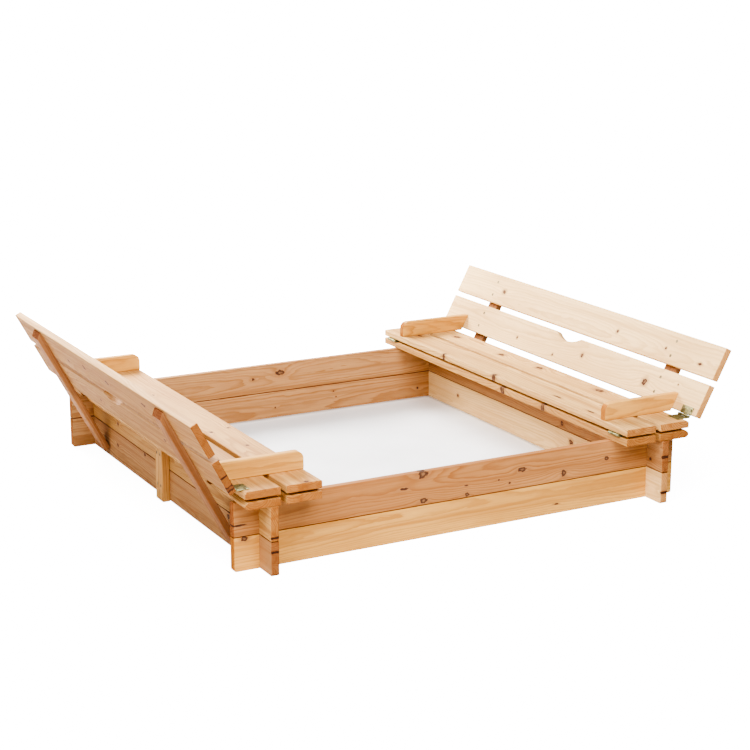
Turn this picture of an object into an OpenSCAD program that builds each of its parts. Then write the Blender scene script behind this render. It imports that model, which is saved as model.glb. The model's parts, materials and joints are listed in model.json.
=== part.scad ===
// Sandbox with a folding cover, shown open.
// Four walls of stacked boards, cross-lapped at the corners, hold the sand.
// Each half of the cover is a bench: two seat boards turn over on hinges at
// the inner edge of the side wall's fixed boards, and two backrest boards
// turn on hinges at the seat's outer edge. Battens behind the backrest reach
// down and bear on the side wall, which sets the lean of the backrest.
// +X is to the right, +Y to the back, +Z up. The origin is on the ground at
// the centre of the box. The right half is drawn, and the left is its mirror.

/* [Walls] */
// Height of one wall board, each wall being two boards high
wall_board_h = 78; // [60:1:100]
// Thickness of the wall boards
wall_t = 18; // [16:0.5:22]
// Width of the box over the outer faces of its side walls
box_w = 1040; // [1030:2:1050]
// Depth of the box over the outer faces of its end walls
box_d = 1060; // [1050:2:1070]
// Length of the end wall boards beyond each side wall
end_stub = 60; // [40:1:62]
// Length of the side wall boards beyond each end wall
side_stub = 62; // [60:1:80]
// Width of the post outside each side wall
post_w = 42; // [30:1:60]
// Thickness of the post outside each side wall
post_t = 20; // [16:1:24]
// Thickness of the ground sheet
sheet_t = 1; // [0.5:0.5:2]

/* [Boards of the cover] */
// Width of each fixed, seat and backrest board
board_w = 83; // [80:0.5:83]
// Thickness of each fixed, seat and backrest board
board_t = 17; // [16:0.5:18]
// Gap between two boards side by side
board_gap = 14; // [12:0.5:14]
// Length of the boards of the cover
board_len = 1180; // [1170:2:1184]
// Distance from the middle of the box to the inner edge of the boards
inner_edge = 398; // [396:0.5:402]
// Chamfer that eases the long edges
ease = 1.5; // [0.5:0.25:2.5]
// Bevel on the outer edge of the outer fixed board, top and bottom
point_bevel = 7; // [2:0.5:8]
// Bevel on the top outer edge of the outer seat board
seat_bevel = 5; // [2:0.5:6]
// Bevel on the top end edges of the seat boards
end_bevel = 3; // [1.5:0.5:4]

/* [Armrests] */
// Height of the armrests above the seat
armrest_h = 42; // [36:1:50]
// Thickness of the armrests
armrest_t = 17; // [14:1:18]
// Distance from the middle of the seat to the outer face of each armrest
armrest_y = 499; // [490:1:505]
// Radius of the armrest's rounded corner
armrest_r = 18; // [8:1:24]

/* [Backrest] */
// Lean of the backrest above the horizontal, in degrees
back_angle = 62; // [61:0.5:64]
// Width of the battens
batten_w = 45; // [40:1:48]
// Thickness of the battens
batten_t = 15; // [12:1:16]
// Distance from the middle of the backrest to the middle of each batten
batten_y = 412; // [400:1:420]
// Distance from the backrest's top edge to the battens' top
batten_drop = 8; // [4:1:20]
// Width of the finger notch at its mouth
notch_w = 115; // [90:1:130]
// Depth of the finger notch
notch_depth = 17; // [12:1:24]

/* [Hinges] */
// Length of each hinge along its pin
hinge_len = 40; // [36:1:44]
// Radius of the hinge barrels
barrel_r = 3; // [2.8:0.1:3.2]
// Radius of the hinge pins
pin_r = 1.5; // [1.2:0.1:1.6]
// Thickness of the hinge leaves
leaf_t = 1.2; // [1:0.1:1.4]
// Distance from the middle of the box to the middle of each seat hinge
fold_hinge_y = 541; // [536:1:560]
// Distance from the middle of the seat to the middle of each backrest hinge
tilt_hinge_y = 552; // [551:1:560]
// Reach of the seat hinge's leaves from the pin
fold_reach = 22; // [20:1:26]
// Reach of the backrest hinge's seat leaf from the pin
tilt_reach = 33; // [30:1:36]
// Reach of the backrest hinge's upper leaf from the pin
back_reach = 24; // [22:1:30]

/* [Hidden] */

round_fn = 48;
screw_fn = 24;
wall_x = box_w / 2;
wall_y = box_d / 2;
end_len = box_w + 2 * end_stub;
side_len = box_d + 2 * side_stub;
foot_r = 8;
sheet_gap = 0.5;
lap_gap = 0.2;
part_gap = 0.4;
running_gap = 0.05;
cut = 1;

fixed_z = 2 * wall_board_h;
fixed_top = fixed_z + board_t;
barrel_gap = 0.5;
fold_x = inner_edge - barrel_r - barrel_gap;
fold_z = fixed_top + barrel_r + part_gap;
seat_z = fold_z + barrel_r;
seat_top = seat_z + board_t;
outer_board_x = inner_edge + board_w + board_gap;
outer_edge = outer_board_x + board_w;

tilt_overhang = 13;
tilt_x = outer_edge + tilt_overhang;
tilt_z = seat_top + barrel_r;
back_front = barrel_r + part_gap;
back_rear = back_front + board_t;
back_start = 6;
back_end = back_start + 2 * board_w + board_gap;
batten_tip = 4;
batten_ease = 0.5;
stop_gap = 0.35;
stop_len = (tilt_x + back_rear * sin(back_angle) - wall_x - stop_gap) / cos(back_angle);
notch_r = (notch_w * notch_w / 4 + notch_depth * notch_depth) / (2 * notch_depth);

pocket_inset = 9;
pocket_gap = 2;
pocket_x = wall_x + pocket_inset;
pocket_w = batten_w + 2 * pocket_gap;

head_r = 4;
head_sink = 0.6;
head_h = 2.6;
shank_r = 2;
leaf_head_r = 2.8;
leaf_head_h = 1.4;
leaf_shank_r = 1.5;
leaf_shank = 14;
frame_screw = 45;
post_screw = 34;
seat_screw = 40;
back_screw = 30;
recess_len = 4;
recess_w = 0.9;
recess_depth = 1.2;
slot_w = 0.8;
slot_depth = 0.6;

fixed_screw_y = [-470, -235, 0, 235, 470];
corner_screw_x = [inner_edge + 32, inner_edge + 66, wall_x + 33];
post_screw_y = 10;
board_screw_x = [22, 61];

fir = [0.86, 0.68, 0.46];
fir_dark = [0.74, 0.53, 0.33];
zinc = [0.78, 0.74, 0.52];
steel = [0.42, 0.40, 0.38];
cloth = [0.93, 0.93, 0.92];

// Rectangle with its four corners cut off, from the lower left anticlockwise
function cut_rect(w, h, c) = [
    [c[0], 0], [w - c[1], 0], [w, c[1]], [w, h - c[2]],
    [w - c[2], h], [c[3], h], [0, h - c[3]], [0, c[0]]
];

// Board along Y with chosen cuts on its long edges and on its top end edges
module board_y(w, t, len, edge_cuts, end_cut) {
    translate([0, -len / 2, 0])
        intersection() {
            translate([0, len, 0]) rotate([90, 0, 0])
                linear_extrude(len) polygon(cut_rect(w, t, edge_cuts));
            rotate([90, 0, 90])
                linear_extrude(w) polygon(cut_rect(len, t, [ease, ease, end_cut, end_cut]));
            linear_extrude(t) polygon(cut_rect(w, len, [ease, ease, ease, ease]));
        }
}

// Plain eased board along Y
module plain_board(w, t, len) {
    board_y(w, t, len, [ease, ease, ease, ease], ease);
}

// Rounds the lower end corners of a wall board that runs along Y
module foot_corners(len) {
    for (side = [0, 1]) mirror([0, side, 0])
        translate([-cut, len / 2 - foot_r, -cut])
            difference() {
                cube([wall_t + 2 * cut, foot_r + cut, foot_r + cut]);
                translate([-cut, 0, foot_r + cut]) rotate([0, 90, 0])
                    cylinder(r = foot_r, h = wall_t + 4 * cut, $fn = round_fn);
            }
}

// Halving notches where the end walls cross a side wall board
module laps(from_y, to_y, low, high) {
    for (side = [0, 1]) mirror([0, side, 0])
        translate([-cut, from_y - lap_gap, low])
            cube([wall_t + 2 * cut, to_y - from_y + 2 * lap_gap, high - low]);
}

// Wall board along Y with its inner face at x = 0
module wall_board(len, lap_from, lap_to, low, high, is_lower) {
    difference() {
        plain_board(wall_t, wall_board_h, len);
        laps(lap_from, lap_to, low, high);
        if (is_lower) foot_corners(len);
    }
}

module side_wall(course) {
    half = wall_board_h / 2;
    color(fir_dark) difference() {
        translate([wall_x - wall_t, 0, course * wall_board_h])
            wall_board(side_len, wall_y - wall_t, wall_y, -cut, half + lap_gap / 2, course == 0);
        frame_screw_holes();
    }
}

module end_wall(course) {
    half = wall_board_h / 2;
    color(fir_dark) difference() {
        translate([0, wall_y, course * wall_board_h]) rotate([0, 0, -90])
            wall_board(end_len, wall_x - wall_t, wall_x, half - lap_gap / 2, wall_board_h + cut,
                       course == 0);
        for (side = [0, 1]) mirror([side, 0, 0]) frame_screw_holes();
    }
}

module wall_post() {
    color(fir_dark) difference() {
        translate([wall_x, -post_w / 2, 0]) intersection() {
            linear_extrude(fixed_z) polygon(cut_rect(post_t, post_w, [ease, ease, ease, ease]));
            translate([0, post_w, 0]) rotate([90, 0, 0])
                linear_extrude(post_w) polygon(cut_rect(post_t, fixed_z, [ease, ease, ease, ease]));
        }
        frame_screw_holes();
    }
}

module ground_sheet() {
    sheet_w = box_w - 2 * (wall_t + sheet_gap);
    sheet_d = box_d - 2 * (wall_t + sheet_gap);
    color(cloth) translate([-sheet_w / 2, -sheet_d / 2, 0]) cube([sheet_w, sheet_d, sheet_t]);
}

// Fixed boards on top of the walls

module inner_fixed_board() {
    color(fir) difference() {
        translate([inner_edge, 0, fixed_z]) plain_board(board_w, board_t, board_len);
        frame_screw_holes();
        fold_leaf_screws_low() leaf_screw_hole();
    }
}

// The outer board has a pocket at each batten, which the batten swings through
module outer_fixed_board() {
    color(fir) difference() {
        translate([outer_board_x, 0, fixed_z])
            board_y(board_w, board_t, board_len, [ease, point_bevel, point_bevel, ease], ease);
        frame_screw_holes();
        for (side = [-1, 1])
            translate([pocket_x, side * batten_y - pocket_w / 2, fixed_z - cut])
                cube([board_w, pocket_w, board_t + 2 * cut]);
    }
}

// Screws

module board_screw(len) {
    translate([0, 0, -head_sink - head_h])
        cylinder(r1 = shank_r, r2 = head_r, h = head_h, $fn = screw_fn);
    translate([0, 0, -len]) cylinder(r = shank_r, h = len - head_sink - head_h, $fn = screw_fn);
}

module cross_recess() {
    for (turn = [0, 90]) rotate([0, 0, turn])
        translate([-recess_len / 2, -recess_w / 2, -head_sink - recess_depth])
            cube([recess_len, recess_w, recess_depth + cut]);
}

module driven_screw(len) {
    color(steel) difference() {
        board_screw(len);
        cross_recess();
    }
}

module screw_hole(len) {
    grown = head_r + running_gap;
    translate([0, 0, -head_sink]) cylinder(r = grown, h = head_sink + cut, $fn = screw_fn);
    translate([0, 0, -head_sink - head_h])
        cylinder(r1 = shank_r + running_gap, r2 = grown, h = head_h, $fn = screw_fn);
    translate([0, 0, -len]) cylinder(r = shank_r + running_gap, h = len - head_sink, $fn = screw_fn);
}

module leaf_screw() {
    color(steel) difference() {
        union() {
            cylinder(r = leaf_head_r, h = leaf_head_h, $fn = screw_fn);
            translate([0, 0, -leaf_shank]) cylinder(r = leaf_shank_r, h = leaf_shank, $fn = screw_fn);
        }
        translate([-cut - leaf_head_r, -slot_w / 2, leaf_head_h - slot_depth])
            cube([2 * (leaf_head_r + cut), slot_w, cut]);
    }
}

module leaf_screw_hole() {
    translate([0, 0, -leaf_shank])
        cylinder(r = leaf_shank_r + running_gap, h = leaf_shank + cut, $fn = screw_fn);
}

// Screws through the fixed boards into the walls
module at_fixed_screws() {
    for (y = fixed_screw_y) translate([wall_x - wall_t / 2, y, fixed_top]) children();
    for (side = [-1, 1], x = corner_screw_x)
        translate([x, side * (wall_y - wall_t / 2), fixed_top]) children();
}

// Screws through the post into both wall boards
module at_post_screws() {
    for (side = [-1, 1], course = [0, 1])
        translate([wall_x + post_t, side * post_screw_y, (course + 0.5) * wall_board_h])
            rotate([0, 90, 0]) children();
}

module frame_screw_holes() {
    at_fixed_screws() screw_hole(frame_screw);
    at_post_screws() screw_hole(post_screw);
}

module frame_screws() {
    at_fixed_screws() driven_screw(frame_screw);
    at_post_screws() driven_screw(post_screw);
}

// Screws up through the seat boards into the armrests
module at_seat_screws() {
    for (side = [-1, 1], board = [0, 1], x = board_screw_x)
        translate([inner_edge + board * (board_w + board_gap) + x,
                   side * (armrest_y - armrest_t / 2), seat_z])
            rotate([180, 0, 0]) children();
}

// Screws through the backrest boards into the battens
module at_back_screws() {
    for (side = [-1, 1], board = [0, 1], x = board_screw_x)
        translate([back_start + board * (board_w + board_gap) + x, side * batten_y, -back_front])
            children();
}

// Hinges: the pin runs along Y through the origin and the leaf reaches to +X

module pin_bore(len) {
    rotate([90, 0, 0]) cylinder(r = pin_r + running_gap, h = len, center = true, $fn = round_fn);
}

module knuckle(from_y, to_y) {
    translate([0, to_y, 0]) rotate([90, 0, 0])
        cylinder(r = barrel_r, h = to_y - from_y, $fn = round_fn);
}

// drop is the distance from the pin down to the face that the leaf lies on
module hinge_half(is_outer, reach, drop, hole_x) {
    third = hinge_len / 6;
    gap = knuckle_gap;
    relief = barrel_r + knuckle_relief;
    difference() {
        union() {
            translate([0, -hinge_len / 2, -drop]) cube([reach, hinge_len, leaf_t]);
            if (is_outer) {
                knuckle(-hinge_len / 2, -third - gap);
                knuckle(third + gap, hinge_len / 2);
            } else {
                knuckle(-third + gap, third - gap);
            }
        }
        pin_bore(hinge_len + 2 * cut);
        if (is_outer) {
            translate([-cut, -third - gap, -drop - cut])
                cube([relief + cut, 2 * (third + gap), drop + barrel_r + 2 * cut]);
        } else {
            for (side = [0, 1]) mirror([0, side, 0])
                translate([-cut - barrel_r, third - gap, -drop - cut])
                    cube([relief + cut + barrel_r, hinge_len, drop + barrel_r + 2 * cut]);
        }
        for (side = [-1, 1]) translate([hole_x, side * leaf_hole_y, -drop + leaf_t])
            leaf_screw_hole();
    }
}

module hinge_pin() {
    rotate([90, 0, 0]) cylinder(r = pin_r, h = hinge_len + 2 * pin_end, center = true, $fn = round_fn);
}

module at_fold_hinges() {
    for (side = [-1, 1]) translate([fold_x, side * fold_hinge_y, fold_z]) children();
}

module at_tilt_hinges() {
    for (side = [-1, 1]) translate([0, side * tilt_hinge_y, 0]) children();
}

pin_end = 0.5;
knuckle_gap = 0.15;
knuckle_relief = 0.6;
fold_hole_x = 13;
tilt_hole_x = 24;
back_hole_x = 16;
leaf_hole_y = hinge_len * 0.31;
fold_drop = barrel_r + part_gap;

module fold_leaf_screws_low() {
    at_fold_hinges() for (side = [-1, 1])
        translate([fold_hole_x, side * leaf_hole_y, -fold_drop + leaf_t]) children();
}

module fold_leaf_screws_high() {
    at_fold_hinges() for (side = [-1, 1])
        translate([fold_hole_x, side * leaf_hole_y, barrel_r - leaf_t])
            rotate([180, 0, 0]) children();
}

module tilt_leaf_screws_seat() {
    translate([tilt_x, 0, tilt_z]) at_tilt_hinges() for (side = [-1, 1])
        translate([-tilt_hole_x, side * leaf_hole_y, -barrel_r + leaf_t]) children();
}

module tilt_leaf_screws_back() {
    at_tilt_hinges() for (side = [-1, 1])
        translate([back_hole_x, side * leaf_hole_y, -back_front + leaf_t]) children();
}

module fold_frame_leaves() {
    color(zinc) at_fold_hinges() hinge_half(true, fold_reach, fold_drop, fold_hole_x);
}

module fold_seat_leaves() {
    color(zinc) at_fold_hinges() mirror([0, 0, 1])
        hinge_half(false, fold_reach, barrel_r, fold_hole_x);
}

module fold_pins() {
    color(steel) at_fold_hinges() hinge_pin();
}

module tilt_seat_leaves() {
    color(zinc) translate([tilt_x, 0, tilt_z]) at_tilt_hinges() mirror([1, 0, 0])
        hinge_half(true, tilt_reach, barrel_r, tilt_hole_x);
}

module tilt_back_leaves() {
    color(zinc) on_backrest() at_tilt_hinges()
        hinge_half(false, back_reach, back_front, back_hole_x);
}

module tilt_pins() {
    color(steel) translate([tilt_x, 0, tilt_z]) at_tilt_hinges() hinge_pin();
}

// Seat

module inner_seat_board() {
    color(fir) difference() {
        translate([inner_edge, 0, seat_z])
            board_y(board_w, board_t, board_len, [ease, ease, ease, ease], end_bevel);
        at_seat_screws() screw_hole(seat_screw);
        fold_leaf_screws_high() leaf_screw_hole();
    }
}

module outer_seat_board() {
    color(fir) difference() {
        translate([outer_board_x, 0, seat_z])
            board_y(board_w, board_t, board_len, [ease, ease, seat_bevel, ease], end_bevel);
        at_seat_screws() screw_hole(seat_screw);
        tilt_leaf_screws_seat() leaf_screw_hole();
    }
}

// The armrest's outer end is cut parallel to the backrest, just clear of it
module armrest() {
    end_clear = 1;
    face_x = tilt_x + (back_front - end_clear) / sin(back_angle) - barrel_r / tan(back_angle);
    top_x = face_x + armrest_h / tan(back_angle);
    len = top_x - inner_edge;
    color(fir) difference() {
        translate([inner_edge, armrest_y - armrest_t, seat_top]) intersection() {
            translate([0, armrest_t, 0]) rotate([90, 0, 0]) linear_extrude(armrest_t)
                polygon([[0, 0], [face_x - inner_edge, 0], [len, armrest_h], [0, armrest_h]]);
            rotate([90, 0, 90]) linear_extrude(len)
                polygon(cut_rect(armrest_t, armrest_h, [ease, ease, ease, ease]));
        }
        translate([inner_edge - cut, armrest_y + cut, seat_top + armrest_h - armrest_r])
            rotate([90, 0, 0]) linear_extrude(armrest_t + 2 * cut) difference() {
                square(armrest_r + cut);
                translate([armrest_r + cut, 0]) circle(r = armrest_r, $fn = round_fn);
            }
        at_seat_screws() screw_hole(seat_screw);
    }
}

// Backrest: x runs up along its face from the hinge pins, z is out of its front

module on_backrest() {
    translate([tilt_x, 0, tilt_z]) rotate([0, -back_angle, 0]) children();
}

module back_board(index) {
    start = back_start + index * (board_w + board_gap);
    translate([start, 0, -back_rear]) plain_board(board_w, board_t, board_len);
}

module lower_back_board() {
    color(fir) on_backrest() difference() {
        back_board(0);
        translate([back_start + board_w - notch_depth + notch_r, 0, -back_rear - cut])
            cylinder(r = notch_r, h = board_t + 2 * cut, $fn = 4 * round_fn);
        at_back_screws() screw_hole(back_screw);
        tilt_leaf_screws_back() leaf_screw_hole();
    }
}

module upper_back_board() {
    color(fir) on_backrest() difference() {
        back_board(1);
        at_back_screws() screw_hole(back_screw);
    }
}

// The batten's top is bevelled, and its lower end bears on the side wall
module batten() {
    top = back_end - batten_drop;
    bevel = batten_t - batten_tip;
    len = top + stop_len;
    color(fir_dark) on_backrest() difference() {
        translate([-stop_len, batten_y - batten_w / 2, -back_rear - batten_t])
            intersection() {
                translate([0, batten_w, 0]) rotate([90, 0, 0])
                    linear_extrude(batten_w) polygon(
                    cut_rect(len, batten_t, [ease, bevel, batten_ease, batten_ease]));
                rotate([90, 0, 90])
                    linear_extrude(len) polygon(
                    cut_rect(batten_w, batten_t, [ease, ease, batten_ease, batten_ease]));
            }
        at_back_screws() screw_hole(back_screw);
    }
}

module front() {
    mirror([0, 1, 0]) children();
}

module left() {
    mirror([1, 0, 0]) children();
}

module seat_screws() {
    at_seat_screws() driven_screw(seat_screw);
}

module back_screws() {
    on_backrest() at_back_screws() driven_screw(back_screw);
}

module seat_leaf_screws() {
    fold_leaf_screws_high() leaf_screw();
    tilt_leaf_screws_seat() leaf_screw();
}

module back_leaf_screws() {
    on_backrest() tilt_leaf_screws_back() leaf_screw();
}

front() end_wall(0);  // front_wall_lower
front() end_wall(1);  // front_wall_upper
end_wall(0);  // back_wall_lower
end_wall(1);  // back_wall_upper
left() side_wall(0);  // left_wall_lower
left() side_wall(1);  // left_wall_upper
side_wall(0);  // right_wall_lower
side_wall(1);  // right_wall_upper
left() wall_post();  // left_wall_post
wall_post();  // right_wall_post
ground_sheet();
left() outer_fixed_board();  // left_outer_fixed_board
left() inner_fixed_board();  // left_inner_fixed_board
outer_fixed_board();  // right_outer_fixed_board
inner_fixed_board();  // right_inner_fixed_board
left() frame_screws();  // left_frame_screws
frame_screws();  // right_frame_screws
left() fold_frame_leaves();  // left_fold_frame_leaves
fold_frame_leaves();  // right_fold_frame_leaves
left() fold_pins();  // left_fold_pins
fold_pins();  // right_fold_pins
left() fold_leaf_screws_low() leaf_screw();  // left_fold_frame_leaf_screws
fold_leaf_screws_low() leaf_screw();  // right_fold_frame_leaf_screws
left() inner_seat_board();  // left_inner_seat_board
left() outer_seat_board();  // left_outer_seat_board
inner_seat_board();  // right_inner_seat_board
outer_seat_board();  // right_outer_seat_board
left() front() armrest();  // left_front_armrest
left() armrest();  // left_back_armrest
front() armrest();  // right_front_armrest
armrest();  // right_back_armrest
left() seat_screws();  // left_seat_screws
seat_screws();  // right_seat_screws
left() fold_seat_leaves();  // left_fold_seat_leaves
fold_seat_leaves();  // right_fold_seat_leaves
left() tilt_seat_leaves();  // left_tilt_seat_leaves
tilt_seat_leaves();  // right_tilt_seat_leaves
left() tilt_pins();  // left_tilt_pins
tilt_pins();  // right_tilt_pins
left() seat_leaf_screws();  // left_seat_leaf_screws
seat_leaf_screws();  // right_seat_leaf_screws
left() lower_back_board();  // left_lower_back_board
left() upper_back_board();  // left_upper_back_board
lower_back_board();  // right_lower_back_board
upper_back_board();  // right_upper_back_board
left() front() batten();  // left_front_batten
left() batten();  // left_back_batten
front() batten();  // right_front_batten
batten();  // right_back_batten
left() back_screws();  // left_back_screws
back_screws();  // right_back_screws
left() tilt_back_leaves();  // left_tilt_back_leaves
tilt_back_leaves();  // right_tilt_back_leaves
left() back_leaf_screws();  // left_back_leaf_screws
back_leaf_screws();  // right_back_leaf_screws
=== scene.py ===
"""Looks of a wooden sandbox whose two-part cover folds out into benches with backrests."""

import json
import math
import random

import bpy
from mathutils import Matrix, Vector


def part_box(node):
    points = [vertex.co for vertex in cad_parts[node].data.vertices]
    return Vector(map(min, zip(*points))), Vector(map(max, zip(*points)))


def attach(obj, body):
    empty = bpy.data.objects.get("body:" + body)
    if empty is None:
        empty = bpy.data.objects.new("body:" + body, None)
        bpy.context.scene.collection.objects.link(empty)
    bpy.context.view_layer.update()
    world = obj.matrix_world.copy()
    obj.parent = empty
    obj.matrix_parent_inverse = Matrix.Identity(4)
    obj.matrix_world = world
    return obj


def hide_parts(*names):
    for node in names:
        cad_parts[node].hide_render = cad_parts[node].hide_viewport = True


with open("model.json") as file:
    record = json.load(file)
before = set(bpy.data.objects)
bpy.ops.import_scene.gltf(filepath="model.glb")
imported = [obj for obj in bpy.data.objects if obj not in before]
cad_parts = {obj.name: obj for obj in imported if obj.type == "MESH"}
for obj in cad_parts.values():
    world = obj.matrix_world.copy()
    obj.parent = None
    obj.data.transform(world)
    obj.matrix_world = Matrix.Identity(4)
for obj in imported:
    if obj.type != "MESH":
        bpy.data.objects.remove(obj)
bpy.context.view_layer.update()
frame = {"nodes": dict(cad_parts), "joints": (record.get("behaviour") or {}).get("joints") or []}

MM = 0.001
X, Y, Z = Vector((1, 0, 0)), Vector((0, 1, 0)), Vector((0, 0, 1))


# ---------------------------------------------------------------- camera

CAMERA_AIM = Vector((0.047, 0.0, 0.238))
CAMERA_AZIMUTH = math.radians(-28.4)  # 0 looks along +Y, and 90 along -X
CAMERA_ELEVATION = math.radians(14.56)
CAMERA_DISTANCE = 4.423
CAMERA_LENS = 84.3  # mm
CAMERA_SENSOR = 36.0  # mm
CAMERA_ROLL = math.radians(0.11)
CAMERA_REACH = 150.0


def around(azimuth, elevation, distance):
    """A point at that distance from the origin, seen from that side and height."""
    flat = distance * math.cos(elevation)
    return Vector((flat * math.sin(azimuth), -flat * math.cos(azimuth), distance * math.sin(elevation)))


def aimed(obj, place, target, roll=0.0):
    """Puts obj at place, with its -Z axis on target."""
    turn = (target - place).to_track_quat("-Z", "Y").to_matrix().to_4x4()
    obj.matrix_world = Matrix.Translation(place) @ turn @ Matrix.Rotation(roll, 4, "Z")
    bpy.context.scene.collection.objects.link(obj)
    return obj


def add_camera():
    data = bpy.data.cameras.new("camera")
    data.lens = CAMERA_LENS
    data.sensor_width = CAMERA_SENSOR
    data.clip_end = CAMERA_REACH
    place = CAMERA_AIM + around(CAMERA_AZIMUTH, CAMERA_ELEVATION, CAMERA_DISTANCE)
    bpy.context.scene.camera = aimed(bpy.data.objects.new("camera", data), place, CAMERA_AIM, CAMERA_ROLL)


add_camera()


# ---------------------------------------------------------------- shader nodes

class Graph:
    """Adds nodes to a node tree. A value is a number, a tuple or another node's socket."""

    def __init__(self, tree):
        self.tree = tree

    def node(self, kind, values=None, **settings):
        node = self.tree.nodes.new(kind)
        for name, setting in settings.items():
            setattr(node, name, setting)
        for name, value in (values or {}).items():
            self.put(value, node.inputs[name])
        return node

    def put(self, value, socket):
        if isinstance(value, bpy.types.NodeSocket):
            self.tree.links.new(value, socket)
        else:
            socket.default_value = value

    def math(self, operation, a, b=0.0, c=0.0, clamp=False):
        node = self.node("ShaderNodeMath", {0: a, 1: b, 2: c}, operation=operation, use_clamp=clamp)
        return node.outputs[0]

    def vector(self, operation, a, b=(0, 0, 0)):
        node = self.node("ShaderNodeVectorMath", {0: a, 1: b}, operation=operation)
        return node.outputs["Value" if operation in ("LENGTH", "DOT_PRODUCT") else "Vector"]

    def combine(self, x, y, z):
        return self.node("ShaderNodeCombineXYZ", {"X": x, "Y": y, "Z": z}).outputs[0]

    def split(self, vector):
        return self.node("ShaderNodeSeparateXYZ", {0: vector}).outputs

    def noise(self, vector, scale=1.0, detail=2.0, roughness=0.5):
        values = {"Vector": vector, "Scale": scale, "Detail": detail, "Roughness": roughness}
        return self.node("ShaderNodeTexNoise", values).outputs[0]

    def range(self, value, span, start=0.0, end=1.0, smooth=True):
        """The value, with span's first number turned into start and its second into end."""
        values = {"Value": value, "From Min": span[0], "From Max": span[1], "To Min": start, "To Max": end}
        kind = "SMOOTHSTEP" if smooth else "LINEAR"
        return self.node("ShaderNodeMapRange", values, interpolation_type=kind).outputs[0]

    def mix(self, factor, a, b, blend="MIX"):
        node = self.node("ShaderNodeMix", data_type="RGBA", blend_type=blend)
        self.put(factor, node.inputs["Factor"])
        for socket, value in ((node.inputs[6], a), (node.inputs[7], b)):
            self.put((*value, 1) if isinstance(value, tuple) else value, socket)
        return node.outputs[2]

    def curve(self, value, stops):
        """A colour ramp read as a single number."""
        node = self.node("ShaderNodeValToRGB", {"Fac": value})
        points = node.color_ramp.elements
        while len(points) < len(stops):
            points.new(0.5)
        for point, (place, level) in zip(points, stops):
            point.position = place
            point.color = (level, level, level, 1)
        return node.outputs[0]

    def bump(self, height, distance):
        values = {"Height": height, "Distance": distance, "Strength": 1.0}
        return self.node("ShaderNodeBump", values).outputs[0]


def node_group(name, inputs, outputs):
    """An empty node group. Inputs and outputs are (name, kind) pairs."""
    tree = bpy.data.node_groups.new(name, "ShaderNodeTree")
    for direction, sockets in (("INPUT", inputs), ("OUTPUT", outputs)):
        for socket, kind in sockets:
            tree.interface.new_socket(socket, in_out=direction, socket_type=f"NodeSocket{kind}")
    graph = Graph(tree)
    return graph, graph.node("NodeGroupInput").outputs, graph.node("NodeGroupOutput").inputs


def surface(name, **values):
    """A new material, its graph and its shader."""
    material = bpy.data.materials.new(name)
    material.use_nodes = True
    shader = material.node_tree.nodes["Principled BSDF"]
    for socket, value in values.items():
        shader.inputs[socket.replace("_", " ")].default_value = value
    return material, Graph(material.node_tree), shader


def dress(obj, material):
    """Gives obj that material and no other."""
    obj.data.materials.clear()
    obj.data.materials.append(material)


# ---------------------------------------------------------------- studio floor and lights

WHITE = (1, 1, 1, 1)
FLOOR_RADIUS = 60.0
FLOOR_CORNERS = 64
FLOOR_COLOUR = (0.9, 0.9, 0.91, 1)
GLOW_REACH = (1.5, 6.5)  # the floor turns into a light table between these distances
GLOW = 2.5
WHITENING = 3.5  # added to the floor's own light, for the camera alone
ROOM_LIGHT = 0.001
SOFTBOX_AIM = Vector((0, 0, 0.1))

# Softboxes as (azimuth, elevation, distance, size, power). Azimuth 0 is in front, and 90 on the right.
SOFTBOXES = {
    "key": (172, 28, 4.0, 1.6, 140),
    "near_key": (197, 37, 2.5, 0.9, 77),
    "top_light": (169, 49, 2.5, 0.9, 19),
    "left_fill": (302, 40, 4.0, 1.6, 108),
    "front_fill": (348, 45, 4.0, 2.2, 163),
}


def add_softbox(name, azimuth, elevation, distance, size, power):
    data = bpy.data.lights.new(name, "AREA")
    data.shape = "SQUARE"
    data.size = size
    data.energy = power
    place = around(math.radians(azimuth), math.radians(elevation), distance)
    aimed(bpy.data.objects.new(name, data), place, SOFTBOX_AIM)


def add_world():
    """A dim room, which the camera sees as white as the far floor."""
    world = bpy.data.worlds.new("studio")
    world.use_nodes = True
    background = world.node_tree.nodes["Background"]
    background.inputs["Color"].default_value = WHITE
    g = Graph(world.node_tree)
    seen = g.node("ShaderNodeLightPath").outputs["Is Camera Ray"]
    g.put(g.math("MULTIPLY_ADD", seen, GLOW + WHITENING, ROOM_LIGHT), background.inputs["Strength"])
    bpy.context.scene.world = world


def add_floor():
    bpy.ops.mesh.primitive_circle_add(vertices=FLOOR_CORNERS, radius=FLOOR_RADIUS, fill_type="NGON")
    floor = bpy.context.object
    floor.name = "studio_floor"
    material, g, shader = surface("studio_floor", Base_Color=FLOOR_COLOUR, Roughness=0.9,
                                  Specular_IOR_Level=0.1, Emission_Color=WHITE)
    distance = g.vector("LENGTH", g.node("ShaderNodeTexCoord").outputs["Object"])
    glow = g.range(distance, GLOW_REACH, 0.0, GLOW)
    seen = g.node("ShaderNodeLightPath").outputs["Is Camera Ray"]
    g.put(g.math("MULTIPLY_ADD", seen, WHITENING, glow), shader.inputs["Emission Strength"])
    floor.data.materials.append(material)


bpy.context.scene.view_settings.look = "AgX - High Contrast"
add_world()
add_floor()
for name, box in SOFTBOXES.items():
    add_softbox(name, *box)


# ---------------------------------------------------------------- knots

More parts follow.
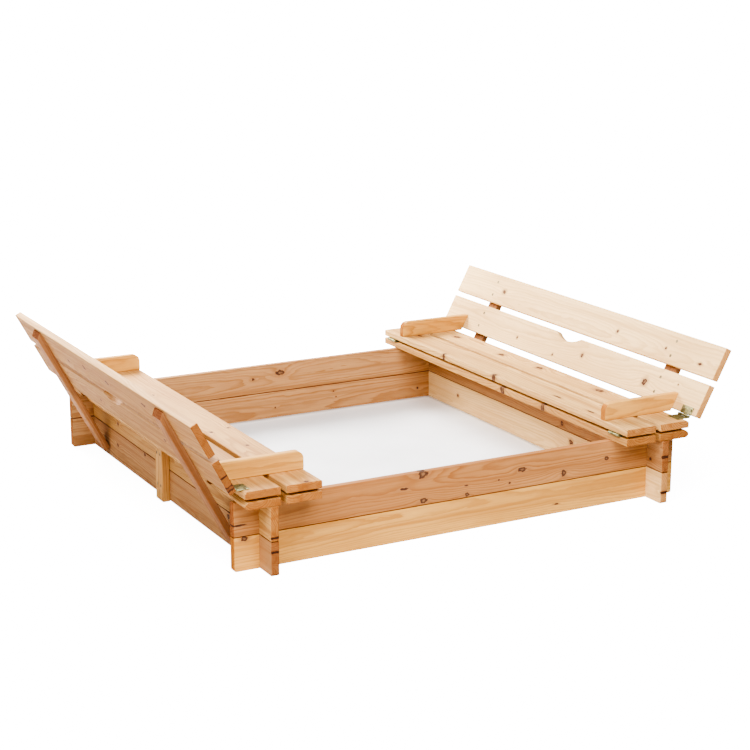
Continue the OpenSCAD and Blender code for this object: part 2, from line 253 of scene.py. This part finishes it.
KNOT_INPUTS = [("Place", "Vector"), ("Along", "Float"), ("Across", "Float"), ("Radius", "Float"),
               ("Stretch", "Float"), ("Size", "Float"), ("Heart", "Float"), ("Swell", "Float")]
KNOT_OUTPUTS = [("Size", "Float"), ("Heart", "Float"), ("Swell", "Float")]
FAR_FROM_KNOTS = 99.0
MOST_NOISE = (0.3, 0.7)  # most of a noise lies in here
KNOT_WOBBLE_SCALE = 130.0
KNOT_WOBBLE = 0.3  # in knot radii
HEART_EDGE = (0.7, 0.1)  # in knot radii
HEARTED_RADII = (3.0 * MM, 6.0 * MM)  # smaller knots have no heart, and larger ones all of it
SWELL_SHORTENING = 0.36  # the bulge round a knot is longer than it is wide, by one over this
SWELL_REACH = 1.8  # in knot radii


def build_knot_group():
    """One branch through the board. Place is in board coordinates: X along the grain, Y across the board's
    width and Z through its thickness. Size is the distance from the knot's middle in knot radii, Heart is its
    paler middle, and Swell is how far the knot pushes the rings aside. Each takes in the knots before it."""
    g, given, result = node_group("fir_knot", KNOT_INPUTS, KNOT_OUTPUTS)
    centre = g.combine(given["Along"], given["Across"], 0.0)
    offset = g.split(g.vector("SUBTRACT", given["Place"], centre))
    wobble = g.noise(given["Place"], scale=KNOT_WOBBLE_SCALE)
    along = g.math("DIVIDE", offset["X"], given["Stretch"])
    size = g.math("DIVIDE", g.vector("LENGTH", g.combine(along, offset["Y"], 0.0)), given["Radius"])
    ragged = g.math("ADD", size, g.range(wobble, MOST_NOISE, -KNOT_WOBBLE, KNOT_WOBBLE, smooth=False))
    heart = g.math("MULTIPLY", g.range(ragged, HEART_EDGE), g.range(given["Radius"], HEARTED_RADII))
    shortened = g.combine(g.math("MULTIPLY", offset["X"], SWELL_SHORTENING), offset["Y"], 0.0)
    bulge = g.math("MULTIPLY", given["Radius"], SWELL_REACH)
    reach = g.math("DIVIDE", g.vector("LENGTH", shortened), bulge)
    swell = g.math("DIVIDE", bulge, g.math("ADD", g.math("POWER", reach, 2.0), 1.0))
    g.put(g.math("MINIMUM", given["Size"], ragged), result["Size"])
    g.put(g.math("MAXIMUM", given["Heart"], heart), result["Heart"])
    g.put(g.math("ADD", given["Swell"], swell), result["Swell"])
    return g.tree


# ---------------------------------------------------------------- fir, cut from the log as a solid texture

FIR_INPUTS = [("Place", "Vector"), ("Facing", "Float"), ("Pith across", "Float"), ("Pith below", "Float"),
              ("Slope across", "Float"), ("Slope below", "Float"), ("Ring width", "Float"), ("Seed", "Float"),
              ("Size", "Float"), ("Heart", "Float"), ("Swell", "Float"), ("Contrast", "Float"),
              ("Edge at", "Float"), ("Painted edge light and shade", "Color"), ("Early wood", "Color")]
FIR_OUTPUTS = [("Colour", "Color"), ("Roughness", "Float"), ("Height", "Float")]

# How fine a noise is, in repeats a metre: along the grain, across the board and through it
BEND_GRAIN = (1.3, 7.0, 7.0)
RIPPLE_GRAIN = (9.0, 45.0, 45.0)
FIBRE_GRAIN = (14.0, 700.0, 700.0)
STREAK_GRAIN = (1.2, 50.0, 50.0)
CLOUD_GRAIN = (2.6, 9.0, 9.0)

BEND = 12 * MM  # how far the rings wander
RIPPLE = 1.6 * MM
SPREAD_SCALE = 60.0
SPREAD = 1.6  # in rings
ONE_YEAR = [(0, 0.25), (0.08, 0), (0.45, 0.1), (0.82, 0.85), (0.94, 1), (1, 0.3)]  # late wood in a ring
FAINTEST_YEAR = 0.35

END_FACING = (0.45, 0.7)  # how squarely a face looks along the grain before it is an end
END_CONTRAST = 0.2
STREAK_EDGE = (0.45, 0.68)
PATCH_EDGE = (0.35, 0.75)
CLOUD_SHARE = 0.35
FIBRE_SHARE = 0.3
HALO_EDGE = (2.8, 0.9)  # in knot radii
HALO_SHARE = 0.55
KNOT_EDGE = (1.12, 0.85)  # in knot radii
BARK_SCALE = 260.0
PAINTED_EDGE_BAND = (2.0 * MM, 0.6 * MM)  # the painted edge shade and highlight start at the first distance and are full at the second

SPECULAR = 0.14
WOOD_ROUGHNESS = 0.6
FIBRE_ROUGHNESS = 0.16
END_ROUGHNESS = 0.2
RELIEF = 0.35 * MM
LATE_WOOD_RELIEF = 0.35
FIBRE_RELIEF = 0.5
KNOT_RELIEF = 0.6

# Shades that the wood is multiplied by
LATE_WOOD = (0.60, 0.46, 0.35)
STAIN = (0.68, 0.56, 0.47)
END_GRAIN = (0.66, 0.50, 0.40)
PAINTED_JOINT_SHADE = (0.34, 0.25, 0.18)  # painted shade in the joint between two wall boards
# painted highlight: brightens the top edge of the left upper back board, where the light from behind falls
PAINTED_TOP_EDGE_HIGHLIGHT = (1.8, 2.2, 2.7)
UNTINTED = (1, 1, 1)
# Colours of knots
KNOT_STAIN = (0.35, 0.165, 0.07)
KNOT_RIM = (0.06, 0.026, 0.014)
KNOT_BARK = (0.13, 0.058, 0.030)
KNOT_HEART = (0.27, 0.135, 0.065)


def late_wood_in_rings(g, given, shifted, place):
    """How much late wood there is: growth rings round a pith that runs beside the board."""
    bend = g.noise(g.vector("MULTIPLY", shifted, BEND_GRAIN), detail=1.0)
    ripple = g.noise(g.vector("MULTIPLY", shifted, RIPPLE_GRAIN), detail=3.0, roughness=0.6)
    across = g.math("SUBTRACT", g.math("MULTIPLY_ADD", place["X"], given["Slope across"], place["Y"]),
                    given["Pith across"])
    below = g.math("ADD", g.math("MULTIPLY_ADD", place["X"], given["Slope below"], place["Z"]),
                   given["Pith below"])
    radius = g.vector("LENGTH", g.combine(across, below, 0.0))
    radius = g.math("ADD", radius, g.range(bend, MOST_NOISE, -BEND, BEND, smooth=False))
    radius = g.math("ADD", radius, g.range(ripple, MOST_NOISE, -RIPPLE, RIPPLE, smooth=False))
    radius = g.math("ADD", radius, given["Swell"])
    spread = g.noise(g.combine(g.math("MULTIPLY", radius, SPREAD_SCALE), given["Seed"], 0.0), detail=1.0)
    rings = g.math("ADD", g.math("DIVIDE", radius, given["Ring width"]), g.math("MULTIPLY", spread, SPREAD))
    late = g.curve(g.math("FRACT", rings), ONE_YEAR)
    year = g.node("ShaderNodeTexWhiteNoise", {"W": g.math("FLOOR", rings)}, noise_dimensions="1D")
    strength = g.range(year.outputs["Value"], (0.0, 1.0), FAINTEST_YEAR, 1.0, smooth=False)
    return g.math("MULTIPLY", late, strength)


def build_fir_group():
    """Fir as a solid texture, so that a board's faces, edges and ends all agree."""
    g, given, result = node_group("fir", FIR_INPUTS, FIR_OUTPUTS)
    shifted = g.vector("ADD", given["Place"], g.combine(given["Seed"], given["Seed"], given["Seed"]))
    place = g.split(given["Place"])
    late = late_wood_in_rings(g, given, shifted, place)
    fibre = g.noise(g.vector("MULTIPLY", shifted, FIBRE_GRAIN), roughness=0.7)
    streak = g.noise(g.vector("MULTIPLY", shifted, STREAK_GRAIN), detail=4.0, roughness=0.65)
    cloud = g.noise(g.vector("MULTIPLY", shifted, CLOUD_GRAIN))
    end = g.range(given["Facing"], END_FACING)

    early_wood = given["Early wood"]
    late_wood = g.mix(1.0, early_wood, LATE_WOOD, "MULTIPLY")
    stain = g.mix(1.0, early_wood, STAIN, "MULTIPLY")
    contrast = g.math("MULTIPLY_ADD", end, END_CONTRAST, given["Contrast"])
    late_share = g.math("MULTIPLY", late, contrast, clamp=True)
    streak_share = g.math("MULTIPLY", g.range(streak, STREAK_EDGE), given["Contrast"])
    knot = g.range(given["Size"], KNOT_EDGE)
    colour = g.mix(late_share, early_wood, late_wood)
    colour = g.mix(streak_share, colour, stain)
    colour = g.mix(g.range(cloud, PATCH_EDGE, 0.0, CLOUD_SHARE), colour, late_wood)
    colour = g.mix(g.range(fibre, PATCH_EDGE, 0.0, FIBRE_SHARE, smooth=False), colour, late_wood)
    colour = g.mix(g.range(given["Size"], HALO_EDGE, 0.0, HALO_SHARE), colour, KNOT_STAIN)
    bark = g.mix(g.noise(given["Place"], scale=BARK_SCALE, detail=3.0), KNOT_RIM, KNOT_BARK)
    colour = g.mix(knot, colour, g.mix(given["Heart"], bark, KNOT_HEART))
    colour = g.mix(end, colour, END_GRAIN, "MULTIPLY")
    from_edge = g.math("ABSOLUTE", g.math("SUBTRACT", place["Y"], given["Edge at"]))
    # painted shade along the joints between wall boards, and a painted highlight along the left upper back
    # board's top edge
    colour = g.mix(g.range(from_edge, PAINTED_EDGE_BAND), colour, given["Painted edge light and shade"], "MULTIPLY")
    g.put(colour, result["Colour"])

    rough = g.math("MULTIPLY_ADD", fibre, FIBRE_ROUGHNESS, WOOD_ROUGHNESS)
    g.put(g.math("MULTIPLY_ADD", end, END_ROUGHNESS, rough), result["Roughness"])
    fibres = g.math("MULTIPLY", fibre, FIBRE_RELIEF)
    relief = g.math("ADD", g.math("MULTIPLY", late, LATE_WOOD_RELIEF), fibres)
    g.put(g.math("MULTIPLY_ADD", knot, KNOT_RELIEF, relief), result["Height"])
    return g.tree


KNOT_GROUP = build_knot_group()
FIR_GROUP = build_fir_group()


# ---------------------------------------------------------------- the boards

# Early wood, from the palest boards to the darkest
# partly the boards' own pale tone and partly painted light: the lit right wall and right backrest are made
# paler in colour
BLOND_AND_PAINTED_LIGHT = (0.88, 0.63, 0.325)
PALE = (0.75, 0.49, 0.22)
GOLD = (0.73, 0.42, 0.14)
TAN = (0.61, 0.36, 0.145)
HONEY = (0.515, 0.295, 0.14)
BROWN = (0.475, 0.243, 0.10)
# partly the boards' own darker tone and partly painted shade: the shaded rear of the left backrest is made
# darker in colour
AMBER_AND_PAINTED_SHADE = (0.445, 0.245, 0.10)
UMBER = (0.37, 0.185, 0.085)

CONTRASTS = {
    BLOND_AND_PAINTED_LIGHT: 0.5, PALE: 1.0, GOLD: 0.8, TAN: 0.95, HONEY: 0.95, BROWN: 0.95, AMBER_AND_PAINTED_SHADE: 0.9, UMBER: 0.8,
}

# How a board is cut from its log, drawn at random
SHADES = (0.96, 1.04)
SEEDS = (-20, 20)
PITH_ACROSS = (-0.4, 0.4)  # share of the board's width
PITH_BELOW = (0.02, 0.06)
SLOPE_ACROSS = (-0.02, 0.02)
SLOPE_BELOW = (-0.025, 0.025)
RING_WIDTHS = (3.2, 5.5)  # mm

# Knots of a board that has none listed
KNOT_COUNTS = (2, 3, 3, 4)
KNOT_ALONG = (0.04, 0.96)
KNOT_ACROSS = (0.08, 0.92)
KNOT_RADII = (2.5, 6.5)  # mm
KNOT_STRETCHES = (1.0, 1.5)


def lean(side):
    """The direction up the open backrest, from the tilt joint's travel."""
    joint = next(j for j in frame["joints"] if j["name"] == f"{side}_backrest_tilt")
    angle = math.radians(-joint["range_deg"][0])
    return Vector((math.cos(angle) * (1 if side == "right" else -1), 0, math.sin(angle)))


def board_axes(node):
    """The directions along the grain and across the width of a wooden node."""
    side = node.split("_")[0]
    if "batten" in node:
        return lean(side), Y
    if "back_board" in node:
        return Y, lean(side)
    if "post" in node:
        return Z, Y
    if "armrest" in node:
        return X, Z
    if "wall" in node:
        return (Y if side in ("left", "right") else X), Z
    return Y, X


class Board:
    """A wooden node's own coordinates: its middle, its axes as matrix columns, and its size along them."""

    def __init__(self, node):
        self.obj = frame["nodes"][node]
        along, across = board_axes(node)
        self.axes = Matrix((along, across, along.cross(across))).transposed()
        places = [self.axes.transposed() @ v.co for v in self.obj.data.vertices]
        low = Vector([min(p[i] for p in places) for i in range(3)])
        high = Vector([max(p[i] for p in places) for i in range(3)])
        self.size = high - low
        self.middle = self.axes @ ((low + high) / 2)
        self.along = along

    def at(self, along, across):
        """A place in board coordinates, from shares of the length and the width."""
        return (along - 0.5) * self.size.x, (across - 0.5) * self.size.y


def scattered_knots(rng):
    """Knots as (share of length, share of width, radius, stretch), for a board with none listed."""
    count = rng.choice(KNOT_COUNTS)
    spans = (KNOT_ALONG, KNOT_ACROSS, KNOT_RADII, KNOT_STRETCHES)
    return [tuple(rng.uniform(*span) for span in spans) for _ in range(count)]


def painted_edge_light_and_shade(node, board):
    """Which long edge of a board carries painted shade (the joint between wall boards) or a painted highlight
    (the top of the left upper back board), as its place across the board's width, and by how much.
    """
    half = board.size.y / 2
    painted_edges = {"wall_upper": PAINTED_JOINT_SHADE, "wall_lower": PAINTED_JOINT_SHADE, "left_upper_back_board": PAINTED_TOP_EDGE_HIGHLIGHT}
    colour = next((tint for name, tint in painted_edges.items() if node.endswith(name)), UNTINTED)
    return {"Edge at": -half if node.endswith("wall_upper") else half, "Painted edge light and shade": (*colour, 1)}


def add_knots(g, board, place, knots):
    """Chains the board's knots, and returns what they do to the wood."""
    chain = {"Size": FAR_FROM_KNOTS, "Heart": 0.0, "Swell": 0.0}
    for along, across, radius, stretch in knots:
        x, y = board.at(along, across)
        knot = g.node("ShaderNodeGroup", node_tree=KNOT_GROUP)
        values = {"Place": place, "Along": x, "Across": y, "Radius": radius * MM, "Stretch": stretch}
        for name, value in (values | chain).items():
            g.put(value, knot.inputs[name])
        chain = {name: knot.outputs[name] for name in chain}
    return chain


def fir(node, tone, knots):
    """Gives a wooden node its own piece of fir."""
    rng = random.Random(node)
    board = Board(node)
    material, g, shader = surface(f"fir_{node}", Specular_IOR_Level=SPECULAR)
    place = g.node("ShaderNodeMapping", {
        "Vector": g.node("ShaderNodeTexCoord").outputs["Object"],
        "Location": board.middle,
        "Rotation": board.axes.to_euler(),
    }, vector_type="TEXTURE").outputs[0]
    normal = g.node("ShaderNodeTexCoord").outputs["Normal"]
    facing = g.math("ABSOLUTE", g.vector("DOT_PRODUCT", normal, tuple(board.along)))
    if knots is None:
        knots = scattered_knots(rng)
    chain = add_knots(g, board, place, knots)
    wood = g.node("ShaderNodeGroup", node_tree=FIR_GROUP)
    shade = rng.uniform(*SHADES)
    values = {
        "Place": place,
        "Facing": facing,
        "Seed": rng.uniform(*SEEDS),
        "Pith across": rng.uniform(*PITH_ACROSS) * board.size.y,
        "Pith below": rng.uniform(*PITH_BELOW),
        "Slope across": rng.uniform(*SLOPE_ACROSS),
        "Slope below": rng.uniform(*SLOPE_BELOW),
        "Ring width": rng.uniform(*RING_WIDTHS) * MM,
        "Contrast": CONTRASTS[tone],
        "Early wood": tuple(c * shade for c in tone) + (1,),
    }
    for name, value in (values | chain | painted_edge_light_and_shade(node, board)).items():
        g.put(value, wood.inputs[name])
    g.put(wood.outputs["Colour"], shader.inputs["Base Color"])
    g.put(wood.outputs["Roughness"], shader.inputs["Roughness"])
    g.put(g.bump(wood.outputs["Height"], RELIEF), shader.inputs["Normal"])
    dress(board.obj, material)


# Knots as (share of the length, share of the width, radius in mm, stretch along the grain), or None where
# they are drawn at random. Lengths run toward +X or +Y, and widths toward +X or up.
BOARDS = {
    "front_wall_upper": (BROWN, [(0.399, 0.93, 9, 1.3), (0.401, 0.13, 7, 1.2), (0.499, 0.09, 5, 1.1),
                                 (0.357, 0.58, 3, 4), (0.012, 0.34, 2.2, 9), (0.626, 0.57, 5.5, 2.2),
                                 (0.726, 0.25, 8, 0.8), (0.831, 0.47, 5, 1.1), (0.572, 0.37, 2, 1.2),
                                 (0.597, 0.22, 2.5, 1.2), (0.497, 0.37, 1.5, 4)]),
    "front_wall_lower": (GOLD, [(0.022, 0.93, 5, 1.6), (0.71, 0.3, 2, 3)]),
    "back_wall_upper": (HONEY, [(0.521, 0.67, 8, 1.5), (0.45, 0.54, 4, 1.2)]),
    "back_wall_lower": (HONEY, [(0.507, 0.4, 2.2, 1), (0.90, 0.4, 3, 1), (0.664, 0.72, 2, 1),
                                (0.671, 0.5, 2, 1)]),
    "left_wall_upper": (TAN, [(0.777, 0.33, 4, 1.3), (0.3, 0.6, 5, 1.2), (0.0, 0.11, 2.5, 1)]),
    "left_wall_lower": (HONEY, [(0.782, 0.58, 4, 1.3), (0.62, 0.92, 4, 1.3), (0.19, 0.86, 5, 1.2),
                                (0, 0.7, 2.5, 1)]),
    "right_wall_upper": (HONEY, [(0.355, 0.19, 6, 1.2), (0.9, 0.4, 5, 1.2), (0.039, 0.28, 4, 1.2),
                                 (0.001, 0.49, 4, 1.2)]),
    # the lower board is paler partly as painted light, where light falls on the inside of the right wall
    "right_wall_lower": (BLOND_AND_PAINTED_LIGHT, [(0.793, 0.55, 4, 1.2), (0.319, 0.69, 6, 1.2), (0.0, 0.36, 3, 1)]),
    "left_wall_post": (TAN, []),
    "right_wall_post": (TAN, []),
    "left_inner_fixed_board": (TAN, None),
    "left_outer_fixed_board": (TAN, None),
    "right_inner_fixed_board": (TAN, [(0.461, 0.03, 7, 1.2), (0.301, 0.03, 7, 1.2), (0.8, 0.5, 6, 1.2)]),
    "right_outer_fixed_board": (TAN, None),
    "left_inner_seat_board": (TAN, [(0.691, 0.23, 3, 1.3), (0.39, 0.81, 3, 1.3), (0.377, 0.21, 3.5, 1.5),
                                    (0.728, 0.05, 3, 1), (0.263, 0.58, 4, 1.2), (0.008, 0.6, 5, 1)]),
    "left_outer_seat_board": (TAN, [(0.2, 0.5, 4, 1.3), (0.55, 0.4, 5, 1.2)]),
    "right_inner_seat_board": (PALE, [(0.715, 0.04, 5, 1.3), (0.497, 0.03, 6, 1.3), (0.277, 0.3, 3, 5),
                                      (0.149, 0.22, 3, 5), (0.9, 0.6, 5, 2)]),
    "right_outer_seat_board": (PALE, [(0.848, 0.47, 7, 1.6), (0.647, 0.48, 7, 1.6), (0.501, 0.6, 7, 1.6),
                                      (0.278, 0.66, 8, 1.8)]),
    # the left backrest boards are darker partly as painted shade on their rear faces
    "left_lower_back_board": (AMBER_AND_PAINTED_SHADE, [(0.252, 0.61, 5, 1.2), (0.62, 0.4, 4, 1.2), (0.8, 0.7, 3, 1),
                                      (0.0, 0.17, 6, 1), (0.0, 0.52, 2, 1)]),
    "left_upper_back_board": (AMBER_AND_PAINTED_SHADE, [(0.593, 0.54, 6, 1.2), (0.463, 0.5, 6, 1.4), (0.708, 0.33, 4, 1.3),
                                      (0.258, 0.59, 5, 2.5)]),
    # the right backrest boards are paler partly as painted light, where light falls on their fronts
    "right_lower_back_board": (BLOND_AND_PAINTED_LIGHT, [(0.681, 0.34, 3, 1), (0.528, 0.22, 3, 1), (0.426, 0.53, 5, 1),
                                       (0.192, 0.44, 8, 1), (0.09, 0.7, 2, 1)]),
    "right_upper_back_board": (BLOND_AND_PAINTED_LIGHT, [(0.808, 0.48, 5, 1.3), (0.346, 0.45, 4, 1), (0.174, 0.43, 3, 1),
                                       (0.055, 0.31, 3, 2)]),
}


def add_wood():
    for node, (tone, knots) in BOARDS.items():
        fir(node, tone, knots)
    for side in ("left", "right"):
        for end in ("front", "back"):
            fir(f"{side}_{end}_armrest", GOLD, [])
            fir(f"{side}_{end}_batten", UMBER, [])


# ---------------------------------------------------------------- metal

METALLIC = 0.85
PATCH_SCALE = 90.0
SCRATCH_GRAIN = (900, 160, 900)
SCRATCH_ROUGHNESS = 0.3
SCRATCH_DEPTH = 0.05 * MM
DARK_ZINC, BRIGHT_ZINC = (0.15, 0.14, 0.065), (0.34, 0.31, 0.16)
ZINC_ROUGHNESS = 0.42
DARK_STEEL, BRIGHT_STEEL = (0.17, 0.13, 0.07), (0.33, 0.27, 0.16)
STEEL_ROUGHNESS = 0.45


def metal(name, dark, bright, roughness):
    """Plated steel: a patchy colour with fine scratches."""
    material, g, shader = surface(name, Metallic=METALLIC)
    place = g.node("ShaderNodeTexCoord").outputs["Object"]
    patches = g.noise(place, scale=PATCH_SCALE, detail=4.0, roughness=0.65)
    scratches = g.noise(g.vector("MULTIPLY", place, SCRATCH_GRAIN))
    g.put(g.mix(g.range(patches, MOST_NOISE), dark, bright), shader.inputs["Base Color"])
    g.put(g.math("MULTIPLY_ADD", scratches, SCRATCH_ROUGHNESS, roughness), shader.inputs["Roughness"])
    g.put(g.bump(scratches, SCRATCH_DEPTH), shader.inputs["Normal"])
    return material


def add_metal():
    zinc = metal("yellow_zinc", DARK_ZINC, BRIGHT_ZINC, ZINC_ROUGHNESS)
    steel = metal("screw_steel", DARK_STEEL, BRIGHT_STEEL, STEEL_ROUGHNESS)
    for name, obj in frame["nodes"].items():
        if "screws" in name:
            dress(obj, steel)
        elif "leaves" in name or "pins" in name:
            dress(obj, zinc)


# ---------------------------------------------------------------- the ground cloth

CLOTH_STEP = 12 * MM
CLOTH_THICKNESS = 0.5 * MM
CLOTH_CLEARANCE = 0.3 * MM
TURN_UP = 3.5 * MM  # how far the edges rise against the walls
TURN_UP_WIDTH = 6 * MM
CREASE = 0.45 * TURN_UP
# Waves in the cloth, as radians in a metre of X and in a metre of Y
CREASES = (9, 4)
CROSSING = (-7, 3.1)
SOFTENING = (4.2, -2.6)
CROSSING_START = 0.6  # radians
WANDER, WANDER_RATE = 1.3, 5

FELT_SCALE = 420.0
DIMPLE_SCALE = 380.0
DIMPLE_DEPTH = 0.25 * MM
GREYING_SCALE = 5.0
FELT_EDGE = (0.35, 0.7)
FELT_SHARE = 0.3
CLOTH_WHITE = (0.86, 0.86, 0.86)
CLOTH_GREY = (0.80, 0.79, 0.79)
CLOTH_SHADE = (0.70, 0.69, 0.69)


def wave(x, y, rates, shift=0.0):
    return math.sin(rates[0] * x + rates[1] * y + shift)


def cloth_height(x, y, low, high):
    """A few long, low creases, and edges that turn up against the walls."""
    wander = WANDER * math.sin(WANDER_RATE * y)
    crease = wave(x, y, CREASES, wander) * wave(x, y, CROSSING, CROSSING_START)
    soft = 0.5 + 0.5 * wave(x, y, SOFTENING)
    edge = min(x - low.x, high.x - x, y - low.y, high.y - y)
    turned_up = TURN_UP * math.exp(-edge / TURN_UP_WIDTH)
    return low.z + CLOTH_CLEARANCE + CREASE * max(0.0, crease) ** 2 * soft + turned_up


def cloth_mesh(low, high):
    """A grid that fills the box's floor, at the cloth's height."""
    across, along = (round((high[i] - low[i]) / CLOTH_STEP) for i in (0, 1))
    points = []
    for j in range(along + 1):
        for i in range(across + 1):
            x = low.x + (high.x - low.x) * i / across
            y = low.y + (high.y - low.y) * j / along
            points.append((x, y, cloth_height(x, y, low, high)))
    row = across + 1
    faces = [(j * row + i, j * row + i + 1, (j + 1) * row + i + 1, (j + 1) * row + i)
             for j in range(along) for i in range(across)]
    mesh = bpy.data.meshes.new("ground_cloth")
    mesh.from_pydata(points, [], faces)
    mesh.polygons.foreach_set("use_smooth", [True] * len(faces))
    return mesh


def fleece():
    """White non-woven cloth, felted and dimpled."""
    material, g, shader = surface("white_fleece", Roughness=0.9, Specular_IOR_Level=0.15)
    place = g.node("ShaderNodeTexCoord").outputs["Object"]
    felt = g.noise(place, scale=FELT_SCALE, detail=5.0, roughness=0.7)
    greying = g.noise(place, scale=GREYING_SCALE, detail=3.0)
    dimples = g.node("ShaderNodeTexVoronoi", {"Vector": place, "Scale": DIMPLE_SCALE}).outputs["Distance"]
    colour = g.mix(g.range(greying, MOST_NOISE), CLOTH_GREY, CLOTH_WHITE)
    colour = g.mix(g.range(felt, FELT_EDGE, 0.0, FELT_SHARE), colour, CLOTH_SHADE)
    g.put(colour, shader.inputs["Base Color"])
    g.put(g.bump(g.math("ADD", felt, dimples), DIMPLE_DEPTH), shader.inputs["Normal"])
    return material


def add_cloth():
    low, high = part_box("ground_sheet")
    cloth = bpy.data.objects.new("ground_cloth", cloth_mesh(low, high))
    bpy.context.scene.collection.objects.link(cloth)
    thick = cloth.modifiers.new("thickness", "SOLIDIFY")
    thick.thickness = CLOTH_THICKNESS
    thick.offset = 1
    cloth.data.materials.append(fleece())

    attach(cloth, "frame")
    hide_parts("ground_sheet")


add_wood()
add_metal()
add_cloth()
